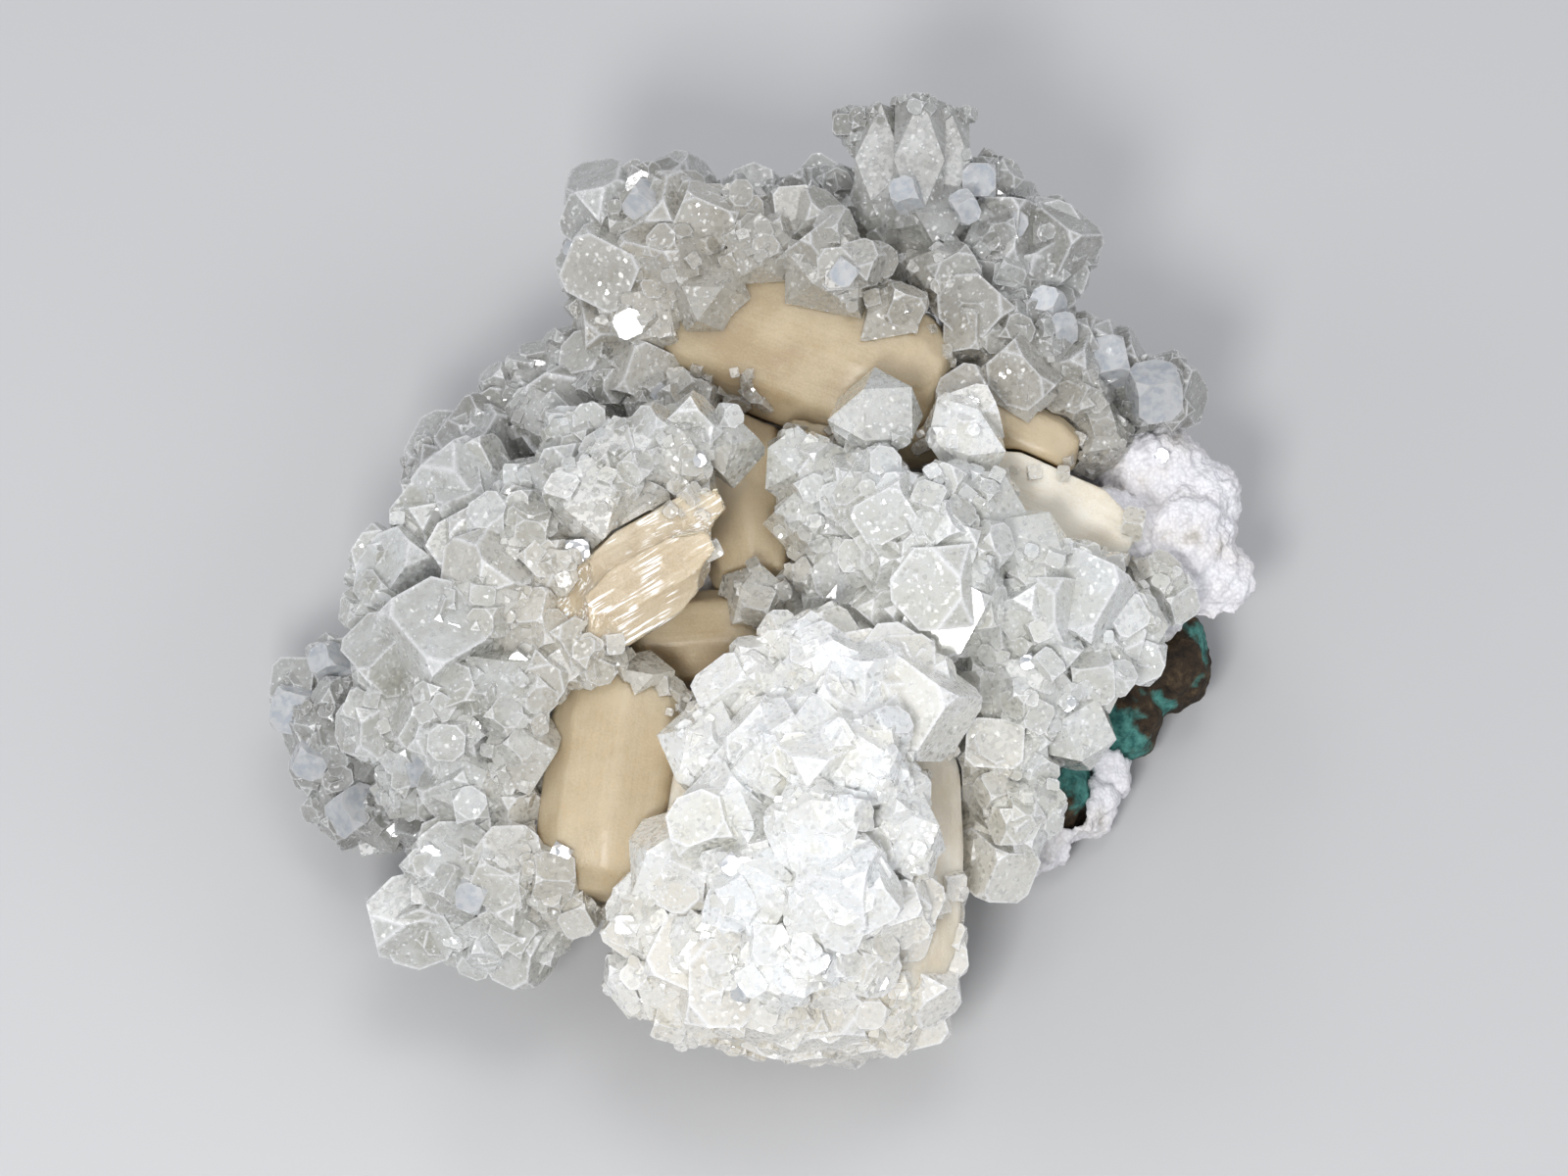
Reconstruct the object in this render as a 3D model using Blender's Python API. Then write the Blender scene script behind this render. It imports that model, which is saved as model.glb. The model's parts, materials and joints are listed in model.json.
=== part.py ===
"""Apophyllite cluster: glassy crystals grown over peach stilbite sheaves, on a white
sugary druse that lines a lump of brown basalt with green celadonite. Metres, +Z up.

The specimen rests on the flat, trimmed foot of its basalt. Its show face is seen from
SHOW_TILT above the horizon, looking along +Y. Most places below are given as they are
seen there: millimetres to the right and up from the middle of that view, and the
height above the surface that the specimen stands on.
"""

import collections
import math
import random

import bmesh
import bpy
from mathutils import Matrix, Vector, noise

MM = 0.001

# Driving dimensions, in millimetres
SHOW_TILT = math.radians(60)
SHOW_DISTANCE = 660.0
SHOW_MIDDLE = Vector((0, 2.3, 26))
GAP = 0.3  # clearance between a piece and what it grew on
BASALT_HALF = (46.0, 30.0, 17.0)
BASALT_MIDDLE = Vector((3.0, 8.0, 3.0))
BASALT_TURN = math.radians(12)
DRUSE_THICKNESS = 3.0
DRUSE_HEM = 9.0  # height of the druse's lower edge at the middle of the specimen
DRUSE_HEM_RISE = 0.12  # how much the hem rises for each millimetre to the right

FLAT_ENOUGH = math.radians(9)  # facets of a lump that turn less than this are one

TOWARDS_VIEWER = Vector((0, -math.cos(SHOW_TILT), math.sin(SHOW_TILT)))
STILL = Matrix.Identity(3)

# A solid to be fused or carved: a unit form, its middle and half sizes in millimetres,
# and its turn as a 3x3 matrix
Shape = collections.namedtuple("Shape", "form middle half turn")


def seen(right, up, height):
    """The place, in millimetres, at a height on the line of sight through a point of
    the show view."""
    eye = SHOW_MIDDLE + TOWARDS_VIEWER * SHOW_DISTANCE
    upwards = Vector((0, math.sin(SHOW_TILT), math.cos(SHOW_TILT)))
    target = SHOW_MIDDLE + Vector((right, 0, 0)) + upwards * up
    return eye + (target - eye) * (eye.z - height) / (eye.z - target.z)


def clear_scene():
    for old in list(bpy.data.objects):
        bpy.data.objects.remove(old)


def material(name, colour, roughness, transmission=0.0):
    made = bpy.data.materials.new(name)
    made.use_nodes = True
    shader = made.node_tree.nodes["Principled BSDF"]
    shader.inputs["Base Color"].default_value = (*colour, 1)
    shader.inputs["Roughness"].default_value = roughness
    shader.inputs["Metallic"].default_value = 0.0
    shader.inputs["Transmission Weight"].default_value = transmission
    made.diffuse_color = (*colour, 1)
    return made


# Unit forms. Each is a closed mesh that reaches about 1 from its middle


def mesh_of(name, bm):
    bmesh.ops.recalc_face_normals(bm, faces=bm.faces)
    mesh = bpy.data.meshes.new(name)
    bm.to_mesh(mesh)
    bm.free()
    return mesh


def six_sided_form():
    """A whole apophyllite crystal: a square prism with flat ends, whose corners the
    pyramid faces take off, so that it has a six-sided outline from the corner."""
    bm = bmesh.new()
    bmesh.ops.create_cube(bm, size=2)
    corners = list(bm.verts)
    bmesh.ops.bevel(bm, geom=corners, offset=1, affect="VERTICES", segments=1)
    bmesh.ops.remove_doubles(bm, verts=bm.verts, dist=0.02)
    return mesh_of("six_sided", bm)


def tip_form():
    """The free end of an apophyllite crystal, towards +Z: a square end face with four
    pyramid faces around it, which take all of its corners."""
    bm = bmesh.new()
    bmesh.ops.create_cube(bm, size=2)
    corners = [v for v in bm.verts if v.co.z > 0]
    bmesh.ops.bevel(bm, geom=corners, offset=1, affect="VERTICES", segments=1)
    bmesh.ops.remove_doubles(bm, verts=bm.verts, dist=0.02)
    return mesh_of("tip", bm)


def blade_form(chamfer):
    """A flat stilbite blade along Z, with roof-shaped ends."""
    bm = bmesh.new()
    bmesh.ops.create_cube(bm, size=2)
    rims = [e for e in bm.edges if abs(e.verts[0].co.z + e.verts[1].co.z) > 1.9]
    across = [e for e in rims if abs(e.verts[0].co.y - e.verts[1].co.y) > 1]
    bmesh.ops.bevel(bm, geom=across, offset=chamfer, affect="EDGES", segments=1)
    return mesh_of("blade", bm)


def sheaf_form(waist, boxy, around=10, rings=8):
    """A stilbite sheaf along Z: blunt rounded ends, a narrower waist, and a
    cross-section between a round and a box."""
    bm = bmesh.new()
    bmesh.ops.create_uvsphere(bm, u_segments=around, v_segments=rings, radius=1)
    for v in bm.verts:
        along = math.copysign(abs(v.co.z) ** 0.8, v.co.z)
        ring = math.hypot(v.co.x, v.co.y)
        if ring < 1e-4:
            v.co = Vector((0, 0, along))
            continue
        flare = waist + (1 - waist) * abs(along) ** 1.5
        width = ring**0.6 * flare
        x = math.copysign(abs(v.co.x / ring) ** boxy, v.co.x)
        y = math.copysign(abs(v.co.y / ring) ** boxy, v.co.y)
        v.co = Vector((x * width, y * width, along))
    return mesh_of("sheaf", bm)


def lump_form(subdivisions, depth, grain, seed, flat=0.0):
    """A ball with hills and hollows of the given depth and spacing. The more flat it
    is, the flatter its top and the steeper its sides."""
    bm = bmesh.new()
    bmesh.ops.create_icosphere(bm, subdivisions=subdivisions, radius=1)
    shift = Vector((seed * 7.31, seed * 3.17, seed * 5.53))
    for v in bm.verts:
        hill = noise.fractal(v.co / grain + shift, 0.7, 2.0, 3)
        ring = max(math.hypot(v.co.x, v.co.y), 1e-6)
        wider = ring ** (-0.5 * flat)
        z = math.copysign(abs(v.co.z) ** (1 - flat), v.co.z)
        v.co = Vector((v.co.x * wider, v.co.y * wider, z)) * (1 + depth * hill)
    bmesh.ops.dissolve_limit(bm, angle_limit=FLAT_ENOUGH, verts=bm.verts, edges=bm.edges)
    bmesh.ops.triangulate(bm, faces=bm.faces)
    return mesh_of("lump", bm)


# Turns


def random_turn(rng):
    """Any way up, as likely as any other."""
    axis = Vector((rng.gauss(0, 1), rng.gauss(0, 1), rng.gauss(0, 1)))
    return Matrix.Rotation(rng.uniform(0, math.tau), 3, axis.normalized())


def turn_along(direction, facing):
    """A turn that takes Z along a direction, and Y as near as it can to facing."""
    z = direction.normalized()
    y = (facing - facing.dot(z) * z).normalized()
    x = y.cross(z)
    return Matrix((x, y, z)).transposed()


def between(form, start, end, half_width, half_thickness, facing=TOWARDS_VIEWER):
    """A shape that runs from one place to another, its broad side to the front."""
    along = end - start
    half = (half_width, half_thickness, along.length / 2)
    return Shape(form, (start + end) / 2, half, turn_along(along, facing))


# Joining and cutting


def placed(shape, collection, grow=0.0):
    """The shape as an object, each half size grown by so many millimetres."""
    made = bpy.data.objects.new("shape", shape.form)
    place = Matrix.Translation(shape.middle * MM) @ shape.turn.to_4x4()
    scale = [(h + grow) * MM for h in shape.half]
    made.matrix_world = place @ Matrix.Diagonal((*scale, 1))
    collection.objects.link(made)
    return made


def helper_collection(shapes, grow):
    made = bpy.data.collections.new("helpers")
    bpy.context.scene.collection.children.link(made)
    for shape in shapes:
        placed(shape, made, grow)
    return made


def drop_crumbs(mesh):
    """Keeps the largest of the pieces that a cut leaves."""
    bm = bmesh.new()
    bm.from_mesh(mesh)
    left, pieces = set(bm.faces), []
    while left:
        todo, piece = [left.pop()], []
        while todo:
            face = todo.pop()
            piece.append(face)
            near = {f for e in face.edges for f in e.link_faces} & left
            left -= near
            todo += near
        pieces.append(piece)
    pieces.sort(key=lambda piece: sum(f.calc_area() for f in piece))
    crumbs = [f for piece in pieces[:-1] for f in piece]
    bmesh.ops.delete(bm, geom=crumbs, context="FACES")
    bmesh.ops.dissolve_limit(
        bm, angle_limit=0.01, verts=bm.verts, edges=bm.edges, use_dissolve_boundaries=False
    )
    bm.to_mesh(mesh)
    bm.free()


def combine(body, operation, shapes, grow=0.0):
    """Joins shapes to the body, or cuts grown copies of them out of it."""
    helpers = helper_collection(shapes, grow)
    boolean = body.modifiers.new(operation.lower(), "BOOLEAN")
    boolean.operation = operation
    boolean.operand_type = "COLLECTION"
    boolean.collection = helpers
    boolean.solver = "EXACT"
    bpy.context.view_layer.update()
    graph = bpy.context.evaluated_depsgraph_get()
    mesh = bpy.data.meshes.new_from_object(body.evaluated_get(graph))
    body.modifiers.clear()
    body.data = mesh
    for helper in list(helpers.objects):
        bpy.data.objects.remove(helper)
    bpy.data.collections.remove(helpers)
    drop_crumbs(mesh)


def fused(name, shapes, look, parts):
    """One solid from overlapping shapes, its place in its mesh."""
    first = placed(shapes[0], parts)
    first.name = name
    first.data = shapes[0].form.copy()
    first.data.transform(first.matrix_world)
    first.matrix_world = Matrix.Identity(4)
    if len(shapes) > 1:
        combine(first, "UNION", shapes[1:])
    first.data.materials.clear()
    first.data.materials.append(look)
    return first


def near(shape, others):
    """The others whose round outline reaches the shape's."""
    reach = max(shape.half)
    return [
        o
        for o in others
        if (o.middle - shape.middle).length < (reach + max(o.half)) * 1.42 + GAP
    ]


def carve(body, shapes, earlier):
    """Cuts what grew before out of a body, with the clearance left around it."""
    cutters = []
    for shape in shapes:
        cutters += [o for o in near(shape, earlier) if o not in cutters]
    if cutters:
        combine(body, "DIFFERENCE", cutters, GAP)


def cut_below(body, height, slope=0.0):
    """Cuts the body off flat at a height in millimetres, which may rise to the right."""
    bm = bmesh.new()
    bm.from_mesh(body.data)
    cut = bmesh.ops.bisect_plane(
        bm,
        geom=bm.verts[:] + bm.edges[:] + bm.faces[:],
        plane_co=Vector((0, 0, height * MM)),
        plane_no=Vector((-slope, 0, 1)).normalized(),
        clear_inner=True,
    )
    rim = [g for g in cut["geom_cut"] if isinstance(g, bmesh.types.BMEdge)]
    bmesh.ops.holes_fill(bm, edges=rim, sides=0)
    bmesh.ops.recalc_face_normals(bm, faces=bm.faces)
    bm.to_mesh(body.data)
    bm.free()


# Basalt matrix


def basalt_shapes():
    """The lump of rock, and the knobs of it that show at the right."""
    rock = lump_form(2, 0.10, 0.55, 1, flat=0.4)
    knob = lump_form(2, 0.22, 0.6, 2)
    turn = Matrix.Rotation(BASALT_TURN, 3, "Z")
    knobs = [
        (seen(44.5, -8.5, 9), (6.5, 6, 7)),
        (seen(39, -14, 7), (6.5, 6.5, 7)),
        (seen(30, -22.5, 6), (8, 7, 7)),
    ]
    shapes = [Shape(rock, BASALT_MIDDLE, BASALT_HALF, turn)]
    return shapes + [Shape(knob, middle, half, STILL) for middle, half in knobs]


# White druse


def druse_shapes():
    """The crust over the rock's top, with the rounded sugary swellings at its rim."""
    crust = lump_form(2, 0.10, 0.55, 1, flat=0.4)
    turn = Matrix.Rotation(BASALT_TURN, 3, "Z")
    half = tuple(h + DRUSE_THICKNESS for h in BASALT_HALF)
    shapes = [Shape(crust, BASALT_MIDDLE, half, turn)]
    swellings = [
        (46, 5, 17, 7.5),
        (50, 0, 15, 5.5),
        (49, 9, 18, 5.5),
        (43, 12, 19, 7.0),
        (42, -1.5, 17, 7.0),
        (37, 4, 21, 7.0),
    ]
    for i, (right, up, height, radius) in enumerate(swellings):
        swelling = lump_form(2, 0.14, 0.45, 10 + i)
        middle = seen(right, up, height)
        shapes.append(Shape(swelling, middle, (radius,) * 3, STILL))
    return shapes


def rim_shapes():
    """The low ridge of druse at the right, where the crust above is broken away."""
    swellings = [
        (38, -21, 5, 4.0),
        (35, -25, 5, 4.8),
        (31, -29, 5, 4.8),
    ]
    return [
        Shape(lump_form(1, 0.12, 0.45, 30 + i), seen(*s[:3]), (s[3],) * 3, STILL)
        for i, s in enumerate(swellings)
    ]


# Stilbite sheaves


def stilbite_recipes():
    """Each sheaf or blade of stilbite by name, as the shapes that it is fused from."""
    broad = sheaf_form(0.86, 0.8)
    bow = sheaf_form(0.72, 0.7)
    ball = sheaf_form(0.95, 0.9)
    small = sheaf_form(0.8, 0.8, 8, 6)
    blade = blade_form(0.5)
    return {
        "stilbite_upper": [
            between(ball, seen(-14, 33.5, 31), seen(20.5, 20.5, 31.5), 10.5, 8),
        ],
        "stilbite_centre": [
            between(bow, seen(-27, -6, 31), seen(-7.5, 5.5, 34), 7.5, 7),
            between(blade, seen(-20, 1, 36), seen(-5.5, 9, 37), 2.4, 4.5),
            between(blade, seen(-20, -3, 36), seen(-6.3, 4.5, 38), 2.5, 4.5),
            between(blade, seen(-20, -7, 34), seen(-8.5, 0, 35), 2.5, 4.5),
        ],
        "stilbite_pocket_back": [
            between(small, seen(-3.5, 20, 24), seen(-1, -1.5, 26), 7, 7),
        ],
        "stilbite_pocket_front": [
            between(small, seen(-17, -7, 22), seen(1, -6, 25), 7, 7),
        ],
        "stilbite_left": [
            between(broad, seen(-15, -9, 29), seen(-18.5, -36, 19), 9.5, 8),
        ],
        "stilbite_front": [
            between(ball, seen(5, -10, 26), seen(4.5, -53, 15), 19, 14),
        ],
        "stilbite_right": [
            between(blade, seen(22, 13, 30), seen(41, 4.5, 25), 4.2, 3.6),
        ],
        "stilbite_right_back": [
            between(small, seen(19, 21, 32), seen(35, 13, 28), 5.5, 5),
            between(small, seen(2, 17, 29), seen(24, 16, 30), 4.5, 4),
        ],
    }


# Apophyllite


def apophyllite_recipes():
    """Each group of intergrown apophyllite by name: the crusts that it grew from, as
    right, up, height and half sizes, and its crystals, as right, up, height and the
    radius that they reach."""
    return {
        "apophyllite_upper_left": (
            [(-12, 36.5, 28, 6.5, 6.5, 6), (2, 36.5, 31, 7, 5, 6)],
            [
                (-16.5, 40.5, 33, 5.2), (-12, 41, 35, 5.8), (-9, 35, 37, 5.6), (-14.5, 34, 33, 5.6),
                (-19, 35.5, 29, 4.2), (-17, 29.5, 28, 4.8), (-12.5, 30, 33, 5), (-5, 39.5, 37, 5.2),
                (-0.5, 36.5, 39, 5.2), (-10, 44, 29, 3.4), (7.5, 34.5, 40, 5.8), (3.5, 38.5, 36, 5),
                (-6, 32, 38, 4.4), (14, 30, 38, 4),
            ],
        ),
        "apophyllite_tower": (
            [(16.5, 39.5, 30, 6, 7, 8), (26.5, 36, 27, 6, 5, 6), (29.5, 23, 27, 6, 6, 6)],
            [
                (14, 42, 36, 5.6), (19, 41, 37, 5.4), (25.5, 38, 35, 4.8), (31.5, 37.5, 33, 5.4),
                (20, 35, 36, 4.6), (28, 33.5, 33, 4), (3, 42, 29, 3.8), (7.5, 43, 31, 4),
                (-1.5, 43, 28, 3.4), (28.5, 41, 30, 3.6), (27.5, 27.5, 33, 5.4), (32, 25.5, 32, 5.4),
                (28, 21.5, 33, 5), (34.5, 21.5, 30, 4.8), (38.5, 24, 28, 3.6), (43.5, 21, 26, 4.8),
                (42.5, 14.5, 22, 4.4), (37, 16.5, 27, 4.2), (24, 28.5, 34, 4.2), (31, 30.5, 32, 3.8),
            ],
        ),
        "apophyllite_right": (
            [(16.5, 4, 32, 8, 6, 5), (31.5, -10.5, 22, 6, 8, 6)],
            [
                (3.5, 13, 35, 4.6), (6, 7.5, 34, 4.8), (12.5, 9.5, 39, 5.6), (18, 7, 41, 5.8),
                (14, 3, 38, 5.2), (21.5, 0.5, 38, 5.8), (24, 8, 37, 5.2), (7.5, 0.5, 29, 4.6),
                (14.5, -4, 33, 5.2), (22.5, -6, 30, 4.2), (29.5, 3.5, 35, 5), (4, -1, 26, 3.8),
                (8.5, -4.5, 27, 4.2), (35, -1, 29, 5.8), (40.5, -5, 26, 4.8), (30, -5, 31, 5.6),
                (36, -9.5, 27, 5.4), (29.5, -12, 29, 5.4), (34.5, -16.5, 24, 4.8), (25, -12, 27, 4.6),
                (27.5, -18.5, 25, 5.4), (28.5, -25, 22, 5), (24.5, -30, 17, 4.4), (23, -21.5, 22, 4.2),
                (22.5, -15.5, 22, 4.2), (44, -0.5, 23, 3.8),
            ],
        ),
        "apophyllite_front": (
            [(3.5, -26, 34, 8, 9, 6), (-9.5, -43, 22, 5, 5, 4)],
            [
                (-1, -12, 37, 5.6), (4.5, -7.5, 38, 4.2), (7.5, -13, 40, 6), (15, -13, 38, 5.6),
                (-6, -19, 36, 5.8), (2, -20, 41, 6), (11, -20.5, 42, 6), (-3, -26.5, 38, 5.8),
                (6, -28, 42, 6.2), (15, -28, 37, 5.4), (-9.5, -31.5, 32, 5.6), (-1, -34, 38, 5.8),
                (7.5, -35.5, 39, 6), (-12, -38, 26, 5.4), (-5.5, -41, 29, 5.6), (3, -42, 33, 6),
                (9.5, -42.5, 30, 5.2), (-13.5, -44.5, 20, 4.4), (-8, -47, 21, 4.6), (0.5, -47.5, 25, 4.8),
                (14, -36.5, 32, 4.2),
            ],
        ),
        "apophyllite_back_left": (
            [(-20.5, 18.5, 23, 9, 5, 4), (-33, 14, 21, 4, 3.5, 3.5)],
            [
                (-25, 18, 26, 4.8), (-18.5, 22, 28, 4.6), (-28, 20, 24, 4), (-11.5, 18.5, 29, 4.6),
                (-31.5, 15.5, 24, 4.6), (-22.5, 24, 25, 4), (-14.5, 23, 28, 4.4), (-36.5, 12.5, 21, 4),
                (-9, 21.5, 29, 4),
            ],
        ),
        "apophyllite_far_left": (
            [(-45.5, -21.5, 11, 4, 4, 4)],
            [
                (-52, -13, 13, 3.6), (-48, -16, 16, 4.6), (-48, -21, 12, 4), (-47, -25, 10, 3.8),
                (-42.5, -26.5, 12, 4), (-48, -9.5, 17, 2.6), (-37.5, -27.5, 13, 3.4),
            ],
        ),
        "apophyllite_left": (
            [(-20, 8, 32, 9, 5, 6), (-36, -10.5, 26, 7, 8, 7)],
            [
                (-10, 14, 39, 5.4), (-15, 13, 39, 5.4), (-4.5, 15.5, 38, 3.8), (-19, 9, 40, 5.6),
                (-14.5, 7.5, 38, 4.4), (-26.5, 5, 36, 5.4), (-23, 1.5, 35, 5), (-33, 9, 28, 4.4),
                (-21, 15, 34, 4.8), (-31.5, 2.5, 31, 4.8), (-41.5, 1, 25, 4.6), (-37.5, 6, 26, 4.8),
                (-43.5, -3.5, 27, 4), (-40.5, -8.5, 31, 5.4), (-36, -6.5, 33, 5.4), (-31, -3, 35, 5.2),
                (-25.5, -5.5, 34, 4.6), (-20, -8, 34, 4.4), (-14, -11.5, 31, 3.4), (-41.5, -15.5, 27, 5.4),
                (-36, -14.5, 32, 5.6), (-29.5, -12, 33, 5.2), (-27.5, -18, 29, 4.4), (-33, -22, 26, 4.8),
                (-39, -22.5, 21, 4.8), (-28.5, -23, 24, 3.4), (-24, -10.5, 31, 3.8),
            ],
        ),
        "apophyllite_lower_left": (
            [(-29.5, -34.5, 16, 6, 5, 4)],
            [
                (-35, -33.5, 20, 5.4), (-29, -32.5, 22, 5.2), (-24, -32.5, 22, 4.8), (-22, -36, 19, 4),
                (-26, -39, 17, 4.4), (-31.5, -39, 16, 4.4), (-37.5, -37.5, 16, 3.6),
            ],
        ),
    }


# The tower's long crystals: foot and tip as right, up and height, and half width
TOWER_COLUMNS = [
    ((12.5, 40.5, 37), (13, 53, 41), 2.7),
    ((17, 39.5, 38), (17.5, 54, 43), 2.9),
    ((20.5, 40.5, 37), (20.5, 53, 41), 2.5),
    ((12, 47, 37), (9.5, 53, 38), 1.6),
    ((22.5, 42, 34), (26.5, 47.5, 38), 2.4),
]

# Crystals that stand alone: right, up, height, half width, half length and a seed
SINGLE_CRYSTALS = {
    "apophyllite_single_centre": (12.5, 18.5, 40, 3.9, 4.2, 3),
    "apophyllite_single_clear": (22.5, 16.2, 38, 3.4, 4.4, 5),
    "apophyllite_single_pocket": (-1.5, -2.0, 29, 3.0, 3.4, 8),
}


def column_shapes(form):
    """The long crystals of the tower at the back."""
    return [
        between(form, seen(*foot), seen(*tip), width, width)
        for foot, tip, width in TOWER_COLUMNS
    ]


def crystal_group(crusts, crystals, whole, tip, seed):
    """The shapes of a group: the crusts that it grew from and its crystals, of which
    every fourth lies any way up and the others point outwards."""
    shapes = []
    for i, (right, up, height, *half) in enumerate(crusts):
        rng = random.Random(100 * seed + 50 + i)
        turn = Matrix.Rotation(rng.uniform(-0.5, 0.5), 3, TOWARDS_VIEWER)
        shapes.append(Shape(whole, seen(right, up, height), half, turn))
    for i, (right, up, height, radius) in enumerate(crystals):
        rng = random.Random(100 * seed + i)
        middle = seen(right, up, height)
        outwards = (TOWARDS_VIEWER + (middle - SHOW_MIDDLE) / 40).normalized()
        lean = Vector((rng.gauss(0, 1), rng.gauss(0, 1), rng.gauss(0, 1)))
        turn = random_turn(rng)
        length = radius * rng.uniform(0.70, 0.85)
        if i % 4 == 0:
            width = radius * 0.70
            shapes.append(Shape(whole, middle, (width, width, length), turn))
            continue
        width = radius * 0.76
        turn = turn_along(outwards + lean * 0.35, turn @ outwards)
        shapes.append(Shape(tip, middle, (width, width, length), turn))
    return shapes


def centre_over_foot(objects):
    """Moves the meshes so that the origin is under the middle of the whole, at z 0."""
    corners = [v.co for o in objects for v in o.data.vertices]
    low = Vector(min(c[i] for c in corners) for i in range(3))
    high = Vector(max(c[i] for c in corners) for i in range(3))
    middle = (low + high) / 2
    shift = Matrix.Translation((-middle.x, -middle.y, -low.z))
    for o in objects:
        o.data.transform(shift)


def main():
    clear_scene()
    parts = bpy.data.collections.new("apophyllite_cluster")
    bpy.context.scene.collection.children.link(parts)
    basalt_look = material("basalt", (0.16, 0.10, 0.06), 0.9)
    druse_look = material("white_druse", (0.82, 0.80, 0.80), 0.6)
    stilbite_look = material("stilbite", (0.80, 0.55, 0.36), 0.45)
    apophyllite_look = material("apophyllite", (0.80, 0.84, 0.80), 0.15, 0.5)

    basalt = basalt_shapes()
    rock = fused("basalt_matrix", basalt, basalt_look, parts)
    cut_below(rock, 0.0)

    druse = druse_shapes()
    crust = fused("white_druse", druse, druse_look, parts)
    cut_below(crust, DRUSE_HEM, DRUSE_HEM_RISE)
    carve(crust, druse, basalt)

    ridge = rim_shapes()
    rim = fused("white_druse_rim", ridge, druse_look, parts)
    carve(rim, ridge, basalt)
    cut_below(rim, 0.0)

    made = [rock, crust, rim]
    earlier = druse + ridge
    for name, shapes in stilbite_recipes().items():
        sheaf = fused(name, shapes, stilbite_look, parts)
        carve(sheaf, shapes, earlier)
        made.append(sheaf)
        earlier += shapes

    six_sided, tip = six_sided_form(), tip_form()
    for name, spot in SINGLE_CRYSTALS.items():
        right, up, height, width, length, seed = spot
        turn = random_turn(random.Random(seed))
        middle = seen(right, up, height)
        shape = Shape(six_sided, middle, (width, width, length), turn)
        single = fused(name, [shape], apophyllite_look, parts)
        carve(single, [shape], earlier)
        made.append(single)
        earlier.append(shape)
    for seed, (name, (crusts, crystals)) in enumerate(apophyllite_recipes().items()):
        shapes = crystal_group(crusts, crystals, six_sided, tip, seed)
        if name == "apophyllite_tower":
            shapes += column_shapes(six_sided)
        group = fused(name, shapes, apophyllite_look, parts)
        carve(group, shapes, earlier)
        made.append(group)
        earlier += shapes
    centre_over_foot(made)


main()
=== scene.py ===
"""Apophyllite cluster: milky and clear apophyllite over peach stilbite sheaves, on a
white sugary druse that lines a lump of brown basalt with green patches."""
import itertools
import json
import math

import bmesh
import bpy
import numpy as np
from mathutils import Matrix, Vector
from mathutils.bvhtree import BVHTree

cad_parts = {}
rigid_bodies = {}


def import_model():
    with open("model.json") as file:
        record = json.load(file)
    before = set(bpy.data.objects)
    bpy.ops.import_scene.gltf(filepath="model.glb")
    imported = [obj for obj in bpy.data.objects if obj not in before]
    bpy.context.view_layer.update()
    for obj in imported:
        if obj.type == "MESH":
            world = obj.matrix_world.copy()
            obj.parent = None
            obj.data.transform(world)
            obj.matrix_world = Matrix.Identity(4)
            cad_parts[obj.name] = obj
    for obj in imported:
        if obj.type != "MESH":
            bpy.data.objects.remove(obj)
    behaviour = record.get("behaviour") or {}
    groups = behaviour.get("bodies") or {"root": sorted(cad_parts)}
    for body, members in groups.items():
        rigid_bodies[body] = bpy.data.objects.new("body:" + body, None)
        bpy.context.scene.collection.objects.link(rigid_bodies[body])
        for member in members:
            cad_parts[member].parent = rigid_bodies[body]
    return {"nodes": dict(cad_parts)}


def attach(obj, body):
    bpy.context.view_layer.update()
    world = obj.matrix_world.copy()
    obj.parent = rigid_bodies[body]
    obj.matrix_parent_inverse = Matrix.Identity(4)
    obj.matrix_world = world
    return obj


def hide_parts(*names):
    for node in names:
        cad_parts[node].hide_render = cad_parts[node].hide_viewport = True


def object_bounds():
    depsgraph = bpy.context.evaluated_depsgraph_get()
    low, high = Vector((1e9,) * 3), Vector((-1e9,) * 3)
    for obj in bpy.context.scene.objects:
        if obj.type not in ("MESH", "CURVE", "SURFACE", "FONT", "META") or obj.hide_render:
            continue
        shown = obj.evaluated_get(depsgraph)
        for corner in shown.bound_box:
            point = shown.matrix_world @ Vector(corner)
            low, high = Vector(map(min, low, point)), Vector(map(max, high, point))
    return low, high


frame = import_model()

MM = 0.001
bounds_at_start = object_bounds()
BOX_LOW, BOX_HIGH = (np.array(corner) for corner in bounds_at_start)


# The view. The specimen is looked down on at 60 degrees, from 0.66 m, through a long
# lens, so that its lobes overlap as they do for someone who holds it in the hand.

VIEW_TILT = math.radians(60)
VIEW_DISTANCE = 660 * MM
VIEW_MIDDLE = Vector((-0.2, 0.1, 26)) * MM
FRAME_WIDTH = 176 * MM
OFF_CENTRE = (2.2 * MM, -0.55 * MM)
SENSOR = 36.0
TOWARDS_VIEWER = Vector((0, -math.cos(VIEW_TILT), math.sin(VIEW_TILT)))
UPWARDS = Vector((0, math.sin(VIEW_TILT), math.cos(VIEW_TILT)))


def seen(right, up, height):
    """The place, in metres, at a height on the line of sight through a point of the view.
    All three are in millimetres: from the view's middle, and above the floor."""
    eye = VIEW_MIDDLE + TOWARDS_VIEWER * VIEW_DISTANCE
    target = VIEW_MIDDLE + Vector((right, 0, 0)) * MM + UPWARDS * up * MM
    return eye + (target - eye) * (eye.z - height * MM) / (eye.z - target.z)


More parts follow.
